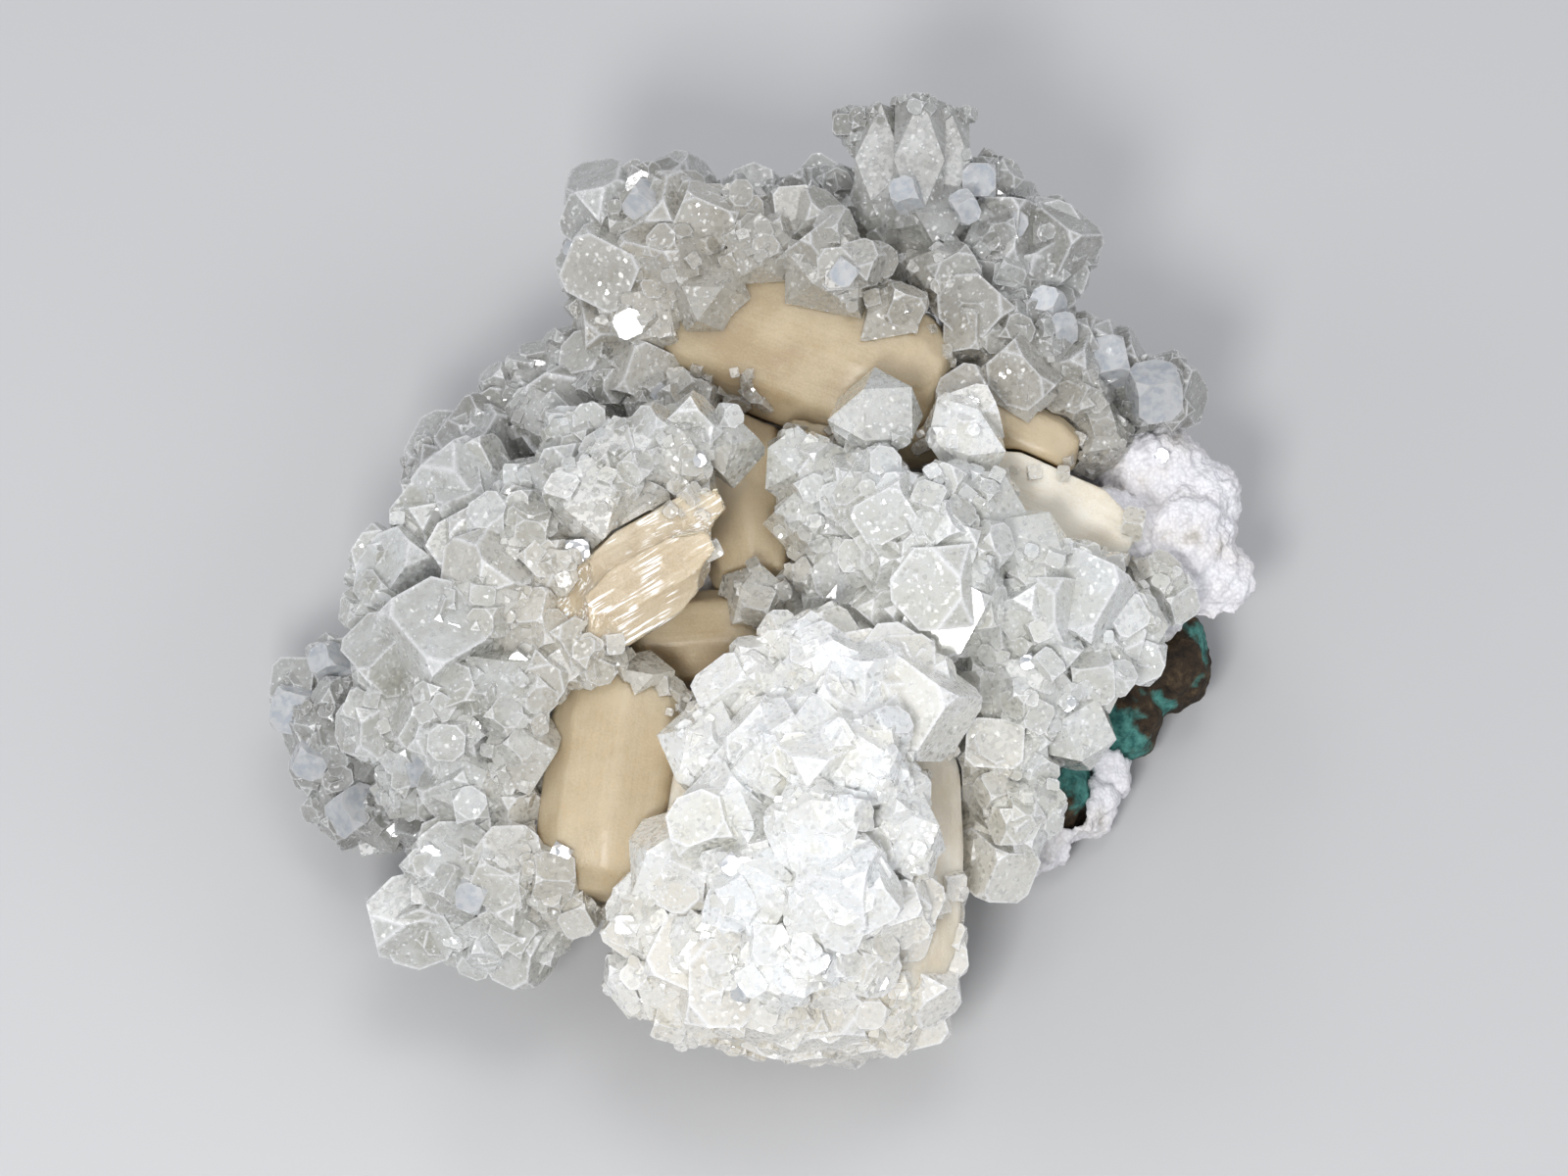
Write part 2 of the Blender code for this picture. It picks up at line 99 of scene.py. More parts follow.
def placed_camera():
    """The camera of the view, its middle a little off the specimen's, as in the photo."""
    data = bpy.data.cameras.new("view")
    data.sensor_width = SENSOR
    data.lens = SENSOR * VIEW_DISTANCE / FRAME_WIDTH
    data.clip_start = 0.01
    camera = bpy.data.objects.new("view", data)
    bpy.context.scene.collection.objects.link(camera)
    aim = VIEW_MIDDLE + Vector((OFF_CENTRE[0], 0, 0)) + UPWARDS * OFF_CENTRE[1]
    camera.location = aim + TOWARDS_VIEWER * VIEW_DISTANCE
    camera.rotation_euler = (math.pi / 2 - VIEW_TILT, 0, 0)
    return camera


bpy.context.scene.camera = placed_camera()


# Basalt matrix. A broken lump of brown, finely crystalline rock with small gas holes. It
# was split off by hand and its foot trimmed flat, and green celadonite stains its rim.

BASALT_SKIN = 0.55 * MM
BASALT_ROUNDS = 2
BASALT_BROWN = (0.045, 0.029, 0.016, 1)
BASALT_DARK = (0.014, 0.010, 0.007, 1)
BASALT_TAN = (0.12, 0.082, 0.042, 1)
CELADONITE_DEEP = (0.025, 0.125, 0.112, 1)
CELADONITE_PALE = (0.11, 0.33, 0.285, 1)
CELADONITE_SPOTS = (
    # right and up as seen, height, and reach, in mm
    (46.0, -7.0, 10, 4.2),
    (35.5, -19.0, 8, 6.5),
    (38.0, -15.5, 9, 3.6),
    (43.5, -13.0, 8, 2.4),
    (31.0, -30.0, 5, 3.0),
)
MOTTLE_SPACING = 1.6 * MM
STAIN_EDGE_SPACING = 4.0 * MM
STAIN_TONE_SPACING = 0.9 * MM
ROCK_GRAIN_SPACING = 0.5 * MM
ROCK_GRAIN_BUMP = 0.25 * MM
CRAG_SPACING, CRAG_HEIGHT, CRAG_SUNK = 9 * MM, 0.9 * MM, 0.5 * MM
CHIP_SPACING, CHIP_STEP = 3.2 * MM, 0.9 * MM
HOLE_SPACING, HOLE_DEPTH, HOLE_SHARE = 2.1 * MM, 0.8 * MM, 0.28
GRIT_SPACING, GRIT_HEIGHT = 1.1 * MM, 0.12 * MM
FLAT_FOOT, FOOT_FADE = 0.4 * MM, 2 * MM
OWN_MIX = 7.13


def hashed(cells, seed):
    """A number from 0 to 1 for each whole-number cell: its three counts, each times a
    large prime, mixed by shifts and products until nearby cells have nothing in common."""
    counts = cells.astype(np.int64).astype(np.uint64)
    mixed = counts[..., 0] * np.uint64(73856093)
    mixed ^= counts[..., 1] * np.uint64(19349663)
    mixed ^= counts[..., 2] * np.uint64(83492791)
    mixed ^= np.uint64(seed * 2654435761 % 2**32)
    for shift, factor in ((15, 2246822519), (13, 3266489917)):
        mixed = (mixed ^ (mixed >> np.uint64(shift))) * np.uint64(factor)
        mixed &= np.uint64(0xFFFFFFFF)
    mixed ^= mixed >> np.uint64(16)
    return mixed.astype(float) / 2**32


def hills(points, spacing, seed):
    """Smooth noise from -1 to 1: each corner of a cell has its own number, and a point
    takes the mean of the eight around it, weighted by the smooth step of its place."""
    place = points / spacing
    cell = np.floor(place)
    part = place - cell
    part = part * part * (3 - 2 * part)
    total = np.zeros(len(points))
    for corner in itertools.product((0, 1), repeat=3):
        weight = np.prod(np.where(corner, part, 1 - part), axis=1)
        total += weight * hashed(cell + corner, seed)
    return total * 2 - 1


def rough_hills(points, spacing, seed, layers=4):
    """Hills with smaller hills on them: each layer has half the spacing and half the
    height of the one before."""
    return sum(hills(points, spacing / 2**i, seed + i) / 2**i for i in range(layers))


def grains(points, spacing, seed):
    """The nearest of one scattered middle per cell: the distances to it and to the next
    one, in spacings, and the grain's own three numbers."""
    place = points / spacing
    cell = np.floor(place)
    first = np.full(len(points), 9.0)
    second = np.full(len(points), 9.0)
    own = np.zeros_like(place)
    for step in itertools.product((-1, 0, 1), repeat=3):
        other = cell + step
        middle = np.stack([hashed(other, seed + axis) for axis in range(3)], axis=1)
        offset = place - other - middle
        far = np.linalg.norm(offset, axis=1)
        nearer = far < first
        second = np.where(nearer, first, np.minimum(second, far))
        first = np.where(nearer, far, first)
        own[nearer] = middle[nearer]
    return first, second, (own * OWN_MIX) % 1


def node_arrays(node):
    """The points and triangles of a CAD node, with its loose triangles joined."""
    joined = bmesh.new()
    joined.from_mesh(node.data)
    bmesh.ops.remove_doubles(joined, verts=joined.verts, dist=1e-6)
    bmesh.ops.triangulate(joined, faces=joined.faces)
    mesh = bpy.data.meshes.new("joined")
    joined.to_mesh(mesh)
    joined.free()
    points = np.empty(len(mesh.vertices) * 3)
    mesh.vertices.foreach_get("co", points)
    corners = np.empty(len(mesh.polygons) * 3, np.int32)
    mesh.loops.foreach_get("vertex_index", corners)
    bpy.data.meshes.remove(mesh)
    return points.reshape(-1, 3), corners.reshape(-1, 3)


def piece_from(name, points, faces):
    """A new piece of the scene from points and the corners of its faces."""
    mesh = bpy.data.meshes.new(name)
    mesh.from_pydata(points, [], faces)
    piece = bpy.data.objects.new(name, mesh)
    bpy.context.scene.collection.objects.link(piece)
    return piece


def skinned(name, points, faces, skin, rounds, closed=0.0):
    """One closed fine skin round shapes that overlap, its squares one skin wide, with
    its edges softened by so many rounds of averaging. Gaps up to twice the closed width
    are filled: the skin swells by it, is made anew, and shrinks by it."""
    piece = piece_from(name, points, faces)
    for swell in ((closed, -closed) if closed else (0.0,)):
        remesh = piece.modifiers.new("skin", "REMESH")
        remesh.mode = "VOXEL"
        remesh.voxel_size = skin
        if swell:
            swelling = piece.modifiers.new("swelling", "DISPLACE")
            swelling.mid_level = 0
            swelling.strength = swell
    soften = piece.modifiers.new("soften", "SMOOTH")
    soften.iterations = rounds
    bpy.context.view_layer.update()
    graph = bpy.context.evaluated_depsgraph_get()
    fine = bpy.data.meshes.new_from_object(piece.evaluated_get(graph))
    piece.modifiers.clear()
    coarse, piece.data = piece.data, fine
    bpy.data.meshes.remove(coarse)
    fine.name = name
    fine.shade_smooth()
    return piece


def skin_arrays(piece):
    """The points of a skin and the way out at each."""
    mesh = piece.data
    points = np.empty(len(mesh.vertices) * 3)
    mesh.vertices.foreach_get("co", points)
    outwards = np.empty(len(mesh.vertices) * 3, np.float32)
    mesh.vertex_normals.foreach_get("vector", outwards)
    return points.reshape(-1, 3), outwards.reshape(-1, 3).astype(float)


def reshape_skin(piece, points):
    """Moves a skin's points, none of them out of the specimen's own box."""
    inside = np.clip(points, BOX_LOW, BOX_HIGH)
    piece.data.vertices.foreach_set("co", inside.astype(np.float32).ravel())
    piece.data.update()


def new_finish(name):
    """A new material, its node tree and its shader."""
    made = bpy.data.materials.new(name)
    made.use_nodes = True
    return made, made.node_tree, made.node_tree.nodes["Principled BSDF"]


def wired(tree, kind, settings=None, **inputs):
    """A new node, with its settings, and its inputs given as values or as sockets."""
    made = tree.nodes.new("ShaderNode" + kind)
    for key, value in (settings or {}).items():
        setattr(made, key, value)
    for key, value in inputs.items():
        socket = made.inputs[int(key[1:]) if key[1:].isdigit() else key.replace("_", " ")]
        if isinstance(value, bpy.types.NodeSocket):
            tree.links.new(value, socket)
        else:
            socket.default_value = value
    return made


def object_place(tree):
    """The place on the piece, in its own axes."""
    return wired(tree, "TexCoord").outputs["Object"]


def noise_of(tree, place, spacing, detail=3.0, rough=0.5):
    """Smooth noise about 0.5, whose hills are so many metres apart."""
    inputs = {"Vector": place, "Scale": 1 / spacing, "Detail": detail, "Roughness": rough}
    return wired(tree, "TexNoise", **inputs).outputs["Fac"]


def ramp_of(tree, factor, stops):
    """A colour ramp through (place, colour) stops."""
    made = wired(tree, "ValToRGB", Fac=factor)
    ramp = made.color_ramp
    for place, colour in stops[2:]:
        ramp.elements.new(place)
    for element, (place, colour) in zip(ramp.elements, sorted(stops, key=lambda s: s[0])):
        element.position = place
        element.color = colour
    return made.outputs["Color"]


def stepped(tree, value, low, high, low_to=0.0, high_to=1.0):
    """A value taken from one range to another, and held at its ends."""
    made = wired(tree, "MapRange", _0=value, _1=low, _2=high, _3=low_to, _4=high_to)
    return made.outputs[0]


def mixed(tree, factor, first, second):
    """The first colour where the factor is 0, the second where it is 1."""
    settings = {"data_type": "RGBA"}
    made = wired(tree, "Mix", settings, _0=factor, _6=first, _7=second)
    return made.outputs[2]


def computed(tree, operation, first, second=0.0):
    """One step of arithmetic on two numbers."""
    return wired(tree, "Math", {"operation": operation}, _0=first, _1=second).outputs[0]


def patch_of(tree, place, middle, reach, ragged):
    """1 inside a round patch of the given reach, with a ragged edge, and 0 outside."""
    offset = wired(tree, "VectorMath", {"operation": "DISTANCE"}, _0=place, _1=middle)
    far = computed(tree, "DIVIDE", offset.outputs["Value"], reach)
    wavy = computed(tree, "ADD", far, ragged)
    return stepped(tree, wavy, 0.85, 1.15, 1.0, 0.0)


def basalt_finish():
    """Brown rock, mottled dark and tan, with ragged blue-green patches of celadonite
    where the crust broke away at the right."""
    made, tree, shader = new_finish("basalt")
    place = object_place(tree)
    mottle = noise_of(tree, place, MOTTLE_SPACING, 6.0, 0.7)
    stops = [(0.36, BASALT_DARK), (0.70, BASALT_TAN), (0.52, BASALT_BROWN)]
    rock = ramp_of(tree, mottle, stops)
    wander = noise_of(tree, place, STAIN_EDGE_SPACING, 4.0, 0.6)
    ragged = stepped(tree, wander, 0.3, 0.7, -0.45, 0.45)
    green = 0.0
    for *middle, reach in CELADONITE_SPOTS:
        spot = patch_of(tree, place, seen(*middle), reach * MM, ragged)
        green = computed(tree, "MAXIMUM", spot, green)
    tone = noise_of(tree, place, STAIN_TONE_SPACING, 3.0, 0.6)
    stain = ramp_of(tree, tone, [(0.35, CELADONITE_DEEP), (0.68, CELADONITE_PALE)])
    tree.links.new(mixed(tree, green, rock, stain), shader.inputs["Base Color"])
    grain = noise_of(tree, place, ROCK_GRAIN_SPACING, 5.0, 0.7)
    bump = wired(tree, "Bump", Height=grain, Distance=ROCK_GRAIN_BUMP, Strength=0.8)
    tree.links.new(bump.outputs["Normal"], shader.inputs["Normal"])
    shader.inputs["Roughness"].default_value = 0.85
    shader.inputs["Specular IOR Level"].default_value = 0.35
    return made


def broken_rock(node, name):
    """The CAD lump with crags pushed out of it: rough hills 9 mm apart, flat chips of
    3 mm that each lie at their own height, and round gas holes in about a quarter of the
    cells.
    The foot stays flat: the heights start above it and reach their full size at 2 mm."""
    points, faces = node_arrays(node)
    piece = skinned(name, points, faces, BASALT_SKIN, BASALT_ROUNDS)
    place, outwards = skin_arrays(piece)
    crag = rough_hills(place, CRAG_SPACING, 11) * CRAG_HEIGHT - CRAG_SUNK
    near, after, own = grains(place, CHIP_SPACING, 21)
    chip = (own[:, 0] - 0.5) * CHIP_STEP * np.clip((after - near) * 5, 0, 1)
    hole, _, kind = grains(place, HOLE_SPACING, 31)
    depth = HOLE_DEPTH * np.clip(1 - hole / 0.35, 0, 1)
    sunk = np.where(kind[:, 1] > 1 - HOLE_SHARE, -depth, 0)
    grit = rough_hills(place, GRIT_SPACING, 41, 2) * GRIT_HEIGHT
    above_foot = np.clip((place[:, 2] - FLAT_FOOT) / FOOT_FADE, 0, 1)
    height = (crag + chip + sunk + grit) * above_foot
    reshape_skin(piece, place + outwards * height[:, None])
    return piece


basalt = broken_rock(frame["nodes"]["basalt_matrix"], "basalt_lump")
basalt.data.materials.append(basalt_finish())
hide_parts("basalt_matrix")
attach(basalt, "root")


# White druse. A skin of tiny sugary crystals, a few millimetres thick, that lined the
# hollow in the rock before anything else grew, with rounded swellings along its rim.

DRUSE_SKIN = 0.42 * MM
DRUSE_ROUNDS = 4
DRUSE_WHITE = (0.84, 0.83, 0.86, 1)
DRUSE_SHADE = (0.50, 0.47, 0.42, 1)
DRUSE_CREAM = (0.82, 0.79, 0.78, 1)
DRUSE_STAIN_SPACING = 6.0 * MM
SUGAR_SPACING, SUGAR_BUMP = 0.45 * MM, 0.16 * MM
KNOB_SPACING, KNOB_HEIGHT = 2.2 * MM, 1.1 * MM
SEED_SPACING, SEED_HEIGHT = 0.95 * MM, 0.62 * MM
SWELL_SPACING, SWELL_HEIGHT = 8 * MM, 0.5 * MM
DRUSE_SUNK = 0.1 * MM


def druse_finish():
    """Sugar white with cream and grey stains, and grains of half a millimetre, each raised
    in its middle and painted a little brighter there, a painted highlight, with painted shade
    towards its edge."""
    made, tree, shader = new_finish("white_druse")
    place = object_place(tree)
    stain = noise_of(tree, place, DRUSE_STAIN_SPACING, 5.0, 0.6)
    stops = [(0.30, DRUSE_SHADE), (0.56, DRUSE_WHITE), (0.40, DRUSE_CREAM)]
    body = ramp_of(tree, stain, stops)
    sugar = wired(tree, "TexVoronoi", Vector=place, Scale=1 / SUGAR_SPACING)
    # painted highlight and shade: each grain lighter in its middle and darker towards its edge
    lit = stepped(tree, sugar.outputs["Distance"], 0.0, 0.9, 1.08, 0.80)
    shaded = wired(tree, "VectorMath", {"operation": "SCALE"}, _0=body, Scale=lit)
    tree.links.new(shaded.outputs[0], shader.inputs["Base Color"])
    bump = wired(tree, "Bump", {"invert": True}, Height=sugar.outputs["Distance"])
    bump.inputs["Distance"].default_value = SUGAR_BUMP
    bump.inputs["Strength"].default_value = 0.7
    tree.links.new(bump.outputs["Normal"], shader.inputs["Normal"])
    shader.inputs["Roughness"].default_value = 0.45
    return made


def sugary_skin(node, name):
    """The CAD crust covered in round grains: knobs 2.2 mm apart, each of its own height,
    with grains of about 1 mm on them, over gentle hills 8 mm apart."""
    points, faces = node_arrays(node)
    piece = skinned(name, points, faces, DRUSE_SKIN, DRUSE_ROUNDS)
    place, outwards = skin_arrays(piece)
    knob, _, own = grains(place, KNOB_SPACING, 51)
    seed, _, _ = grains(place, SEED_SPACING, 61)
    height = (0.55 - knob) * (0.5 + own[:, 0]) * KNOB_HEIGHT
    height += (0.5 - seed) * SEED_HEIGHT
    height += rough_hills(place, SWELL_SPACING, 71, 3) * SWELL_HEIGHT
    reshape_skin(piece, place + outwards * (height[:, None] - DRUSE_SUNK))
    return piece


druse_look = druse_finish()
DRUSE = {"white_druse": "druse_crust", "white_druse_rim": "druse_ridge"}
for node_name, piece_name in DRUSE.items():
    crust = sugary_skin(frame["nodes"][node_name], piece_name)
    crust.data.materials.append(druse_look)
    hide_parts(node_name)
    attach(crust, "root")


# Stilbite. Sheaves of thin blades grown side by side, peach and satiny along the sheaf,
# that flare at both ends, where the blades part and their pearly tips show.

PEACH = ((0.40, 0.30, 0.18, 1), (0.46, 0.365, 0.23, 1), (0.53, 0.43, 0.285, 1))
CREAM = ((0.62, 0.54, 0.41, 1), (0.70, 0.63, 0.51, 1), (0.76, 0.71, 0.61, 1))
SILK = ((0.46, 0.365, 0.24, 1), (0.53, 0.435, 0.30, 1), (0.60, 0.51, 0.37, 1))
SILK_PAINTED_SHEEN = (0.95, 0.93, 0.90, 1)
CLOUD_SPACING = 9.0 * MM
STREAK_SPACING = 0.45 * MM
SPECK_SPACING = 0.25 * MM
SHEEN_LINE_SPACING, SHEEN_PATCH_SPACING = 0.30 * MM, 3.5 * MM
DRAWN_OUT = (1, 1, 0.05)
STILBITE_GLOW = 2.0 * MM
FLARE, FLARE_LIMIT = 0.35, 1.2
DRAWN_BLADES = 0.06
BLADE_STEP_MIDDLE, BLADE_STEP_ENDS, ENDS_START = 0.4, 1.4, 0.35
GROOVE_DEPTH, GROOVE_STEEPNESS = 0.6, 6
FINE_BLADE, FINE_STEP = 0.4, 0.35


def stilbite_finish(name, tones, silk):
    """Deeper and paler in soft clouds, and finely streaked along the sheaf: the streaks
    read the piece's own attribute, whose third number runs along it. Silk from 0 to 1
    draws them deeper and glossier, and full silk has painted sheen in patches: white lines
    along the sheaf."""
    made, tree, shader = new_finish(name)
    place = object_place(tree)
    strand = wired(tree, "Attribute", {"attribute_name": "strand"}).outputs["Vector"]
    drawn = wired(tree, "VectorMath", {"operation": "MULTIPLY"}, _0=strand, _1=DRAWN_OUT)
    cloud = noise_of(tree, place, CLOUD_SPACING, 3.0, 0.55)
    streak = noise_of(tree, drawn.outputs[0], STREAK_SPACING, 3.0, 0.6)
    speck = noise_of(tree, place, SPECK_SPACING, 1.0)
    tone = computed(tree, "MULTIPLY", cloud, 0.70 - 0.1 * silk)
    tone = computed(tree, "ADD", tone, computed(tree, "MULTIPLY", streak, 0.12 + 0.1 * silk))
    tone = computed(tree, "ADD", tone, computed(tree, "MULTIPLY", speck, 0.18))
    body = ramp_of(tree, tone, [(0.40, tones[0]), (0.61, tones[2]), (0.50, tones[1])])
    # painted sheen: white lines along the sheaf, in patches
    if silk == 1.0:
        sheen_streak = noise_of(tree, drawn.outputs[0], SHEEN_LINE_SPACING, 2.0)
        where = noise_of(tree, place, SHEEN_PATCH_SPACING, 2.0)
        line = stepped(tree, sheen_streak, 0.53, 0.58)
        in_sheen_patch = stepped(tree, where, 0.44, 0.54)
        body = mixed(tree, computed(tree, "MULTIPLY", line, in_sheen_patch), body, SILK_PAINTED_SHEEN)
    tree.links.new(body, shader.inputs["Base Color"])
    relief = computed(tree, "ADD", streak, computed(tree, "MULTIPLY", speck, 0.7))
    bump = wired(tree, "Bump", Height=relief, Distance=(0.05 + 0.10 * silk) * MM, Strength=0.7)
    tree.links.new(bump.outputs["Normal"], shader.inputs["Normal"])
    shader.subsurface_method = "BURLEY"
    shader.inputs["Roughness"].default_value = 0.42 - 0.14 * silk
    shader.inputs["Subsurface Weight"].default_value = 0.8
    shader.inputs["Subsurface Radius"].default_value = (1.0, 0.7, 0.45)
    shader.inputs["Subsurface Scale"].default_value = STILBITE_GLOW
    shader.inputs["Coat Weight"].default_value = 0.1 + 0.6 * silk
    shader.inputs["Coat Roughness"].default_value = 0.25
    return made


def along_and_across(place, start, end):
    """Each point in the sheaf's own axes: two across it and one along it."""
    along = np.array((end - start).normalized())
    across = np.cross(along, np.array(TOWARDS_VIEWER))
    across /= np.linalg.norm(across)
    out = np.cross(across, along)
    offset = place - np.array((start + end) / 2)
    return np.stack([offset @ across, offset @ out, offset @ along], axis=1)


def striated_sheaf(node, name, start, end, skin, blade, depth, closed, rounds):
    """The CAD sheaf cut into blades: each blade is a strip, so many metres wide, that
    runs along the sheaf and stands a little higher or lower than the next, with a groove
    between them and finer strips on it. Towards both ends the sheaf flares and the steps
    grow, as the blades part."""
    points, faces = node_arrays(node)
    piece = skinned(name, points, faces, skin, rounds, closed)
    place, outwards = skin_arrays(piece)
    local = along_and_across(place, start, end)
    half = (end - start).length / 2
    along = np.abs(local[:, 2]) / half
    flare = 1 + FLARE * np.clip(along, 0, FLARE_LIMIT)
    drawn = np.full(len(flare), DRAWN_BLADES)
    spread = local * np.stack([1 / flare, 1 / flare, drawn], axis=1)
    wide, after, own = grains(spread, blade, 81)
    _, _, fine_own = grains(spread, blade * FINE_BLADE, 91)
    step = BLADE_STEP_MIDDLE + BLADE_STEP_ENDS * np.clip(along - ENDS_START, 0, 1)
    groove = np.clip(1 - (after - wide) * GROOVE_STEEPNESS, 0, 1)
    height = (own[:, 0] - 0.6) * depth * step
    height -= depth * GROOVE_DEPTH * step * groove
    height += (fine_own[:, 1] - 0.5) * depth * FINE_STEP
    reshape_skin(piece, place + outwards * height[:, None])
    strand = piece.data.attributes.new("strand", "FLOAT_VECTOR", "POINT")
    strand.data.foreach_set("vector", local.astype(np.float32).ravel())
    return piece


SHEAVES = {
    # start and end as seen; skin, blade, step and gap to close, in mm; rounds; look
    "stilbite_upper": ((-14, 33.5, 31), (20.5, 20.5, 31.5), 0.35, 2.4, 0.10, 0.5, 24, "peach"),
    "stilbite_centre": ((-27, -6, 31), (-7.5, 5.5, 34), 0.24, 0.6, 0.16, 2.0, 30, "silky"),
    "stilbite_pocket_back": ((-3.5, 20, 24), (-1, -1.5, 26), 0.35, 2.0, 0.08, 0.5, 14, "peach"),
    "stilbite_pocket_front": ((-17, -7, 22), (1, -6, 25), 0.35, 2.0, 0.08, 0.5, 14, "peach"),
    "stilbite_left": ((-15, -9, 29), (-18.5, -36, 19), 0.35, 2.6, 0.06, 0.6, 24, "peach"),
    "stilbite_front": ((5, -10, 26), (4.5, -53, 15), 0.40, 1.6, 0.20, 0.6, 10, "cream"),
    "stilbite_right": ((22, 13, 30), (41, 4.5, 25), 0.35, 1.2, 0.12, 0.5, 10, "cream"),
    "stilbite_right_back": ((19, 21, 32), (35, 13, 28), 0.35, 1.6, 0.10, 0.5, 10, "peach"),
}
stilbite_looks = {
    "peach": stilbite_finish("stilbite_peach", PEACH, 0.0),
    "silky": stilbite_finish("stilbite_silky", SILK, 1.0),
    "cream": stilbite_finish("stilbite_cream", CREAM, 0.3),
}
for node_name, (start, end, *widths, rounds, look) in SHEAVES.items():
    piece_name = node_name.replace("stilbite", "sheaf")
    ends = seen(*start), seen(*end)
    widths = [width * MM for width in widths]
    sheaf = striated_sheaf(frame["nodes"][node_name], piece_name, *ends, *widths, rounds)
    sheaf.data.materials.append(stilbite_looks[look])
    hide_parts(node_name)
    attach(sheaf, "root")


# Apophyllite. Blocky glassy crystals, milky inside and frosted with tiny growth steps
# that glitter, grown last and into one another, over the sheaves and the druse.

# The milky colours come in lighter and darker pairs, one pair for each look. Besides the
# crystals' own milky tints, they hold painted light: the pairs for the groups in front are
# lighter, and those for the groups further back are darker, painted shade.
MILK_WHITE_PAINTED_FULL_LIGHT = (0.88, 0.90, 0.91, 1)
MILK_CREAM_PAINTED_FULL_LIGHT = (0.76, 0.74, 0.66, 1)
MILK_SOFT_PAINTED_MID_LIGHT = (0.64, 0.63, 0.56, 1)
MILK_GREY_PAINTED_MID_SHADE = (0.47, 0.46, 0.40, 1)
MILK_FAIR_PAINTED_MID_LIGHT = (0.77, 0.785, 0.775, 1)
MILK_PALE_PAINTED_SHADE = (0.63, 0.64, 0.62, 1)
MILK_DEEP_PAINTED_SHADE = (0.32, 0.31, 0.275, 1)
MILK_WARM = (0.78, 0.71, 0.58, 1)
# white of the painted highlights: along the crystals' edges and on single grains
PAINTED_HIGHLIGHT_WHITE = (0.97, 0.97, 0.97, 1)
EDGE_HIGHLIGHT_WIDTH, EDGE_HIGHLIGHT_STRENGTH = 0.10, 0.9
GLASS_BEND = 1.535
MILK_GRAIN, MILK_TILT, MILK_LEANING = 0.42 * MM, 0.34, 0.6
ROUGH_GRAIN, SMOOTH_GRAIN = 0.32, 0.06
MILK_VEIL_SPACING = 5.0 * MM
WARM_REACH, WARM_SHARE = 8 * MM, 0.55
OPEN_IN_FRONT = 3 * MM
SMALL_ONES_OFTENER = 1.5
UNEVEN = (0.8, 1.2)
CUT_REACH = 0.9
CUTS = (0.35, 0.55, 0.75)
CRYSTAL_KINDS = (
    # share of the count, least and most half size in mm, how far sunk, lean
    (0.02, 3.0, 4.6, 0.92, 0.12),
    (0.05, 2.0, 3.3, 0.76, 0.20),
    (0.24, 1.0, 1.9, 0.62, 0.28),
    (0.66, 0.42, 0.95, 0.42, 0.25),
)
BARE_PLACES = (
    # where stilbite, celadonite or the tower's columns show: middle and reach, in mm
    (-17.4, -22.5, 8.5, 11.5),
    (-0.5, 29.8, 9.0, 5.5),
    (10.0, 24.2, 9.0, 6.0),
    (-2.0, 10.0, 3.6, 7.7),
    (-8.8, -5.0, 6.5, 5.0),
    (-13.8, 1.0, 7.0, 7.0),
    (20.3, -26.0, 2.4, 5.5),
    (30.0, 16.3, 4.6, 3.3),
    (33.5, 8.0, 6.6, 3.3),
    (37.6, -19.0, 4.0, 6.0),
    (16.5, 45.5, 6.0, 7.0),
)


def edge_highlight_of(tree, width):
    """1 along a crystal's edges and 0 on its faces: the mask of the painted highlight on the
    edges. The attribute own runs from -1 to 1 across the crystal, so one of its distances
    to a face plane is zero and the second smallest is the distance to the nearest edge. The
    planes are the three pairs of the square prism and the eight cut corners."""
    own = wired(tree, "Attribute", {"attribute_name": "own"}).outputs["Vector"]
    apart = wired(tree, "VectorMath", {"operation": "ABSOLUTE"}, _0=own).outputs[0]
    parts = wired(tree, "SeparateXYZ", Vector=apart)
    sides = [computed(tree, "SUBTRACT", 1.0, parts.outputs[axis]) for axis in range(3)]
    whole = computed(tree, "ADD", computed(tree, "ADD", sides[0], sides[1]), sides[2])
    cut = wired(tree, "Attribute", {"attribute_name": "cut"}).outputs["Fac"]
    corner = computed(tree, "MULTIPLY", computed(tree, "SUBTRACT", whole, cut), 0.58)
    low = computed(tree, "MINIMUM", sides[0], sides[1])
    high = computed(tree, "MAXIMUM", sides[0], sides[1])
    other_low = computed(tree, "MINIMUM", sides[2], corner)
    other_high = computed(tree, "MAXIMUM", sides[2], corner)
    inner = computed(tree, "MAXIMUM", low, other_low)
    outer = computed(tree, "MINIMUM", high, other_high)
    return stepped(tree, computed(tree, "MINIMUM", inner, outer), 0.0, width, 1.0, 0.0)


def tilted_grains(tree, place, spacing, tilt, share):
    """The way out of a face broken into flat grains: a share of the grains lean their own
    way by up to the tilt, and the others lie flat. It also gives each grain's own number
    from 0 to 1, and 1 on a painted glint, a point in the middle of one grain in seven."""
    cells = wired(tree, "TexVoronoi", Vector=place, Scale=1 / spacing)
    own = cells.outputs["Color"]
    lean = wired(tree, "VectorMath", {"operation": "SUBTRACT"}, _0=own, _1=(0.5, 0.5, 0.5))
    number = wired(tree, "SeparateColor", Color=own).outputs[1]
    leaning = stepped(tree, number, 1 - share, 1.01 - share, 0.0, 2 * tilt)
    way = wired(tree, "VectorMath", {"operation": "SCALE"}, _0=lean.outputs[0], Scale=leaning)
    face = wired(tree, "NewGeometry").outputs["Normal"]
    bent = wired(tree, "VectorMath", {"operation": "ADD"}, _0=face, _1=way.outputs[0])
    out = wired(tree, "VectorMath", {"operation": "NORMALIZE"}, _0=bent.outputs[0])
    # painted glint: a white point in the middle of one grain in seven
    middle = stepped(tree, cells.outputs["Distance"], 0.26, 0.38, 1.0, 0.0)
    has_painted_glint = stepped(tree, number, 0.84, 0.86)
    return out.outputs[0], number, computed(tree, "MULTIPLY", middle, has_painted_glint)


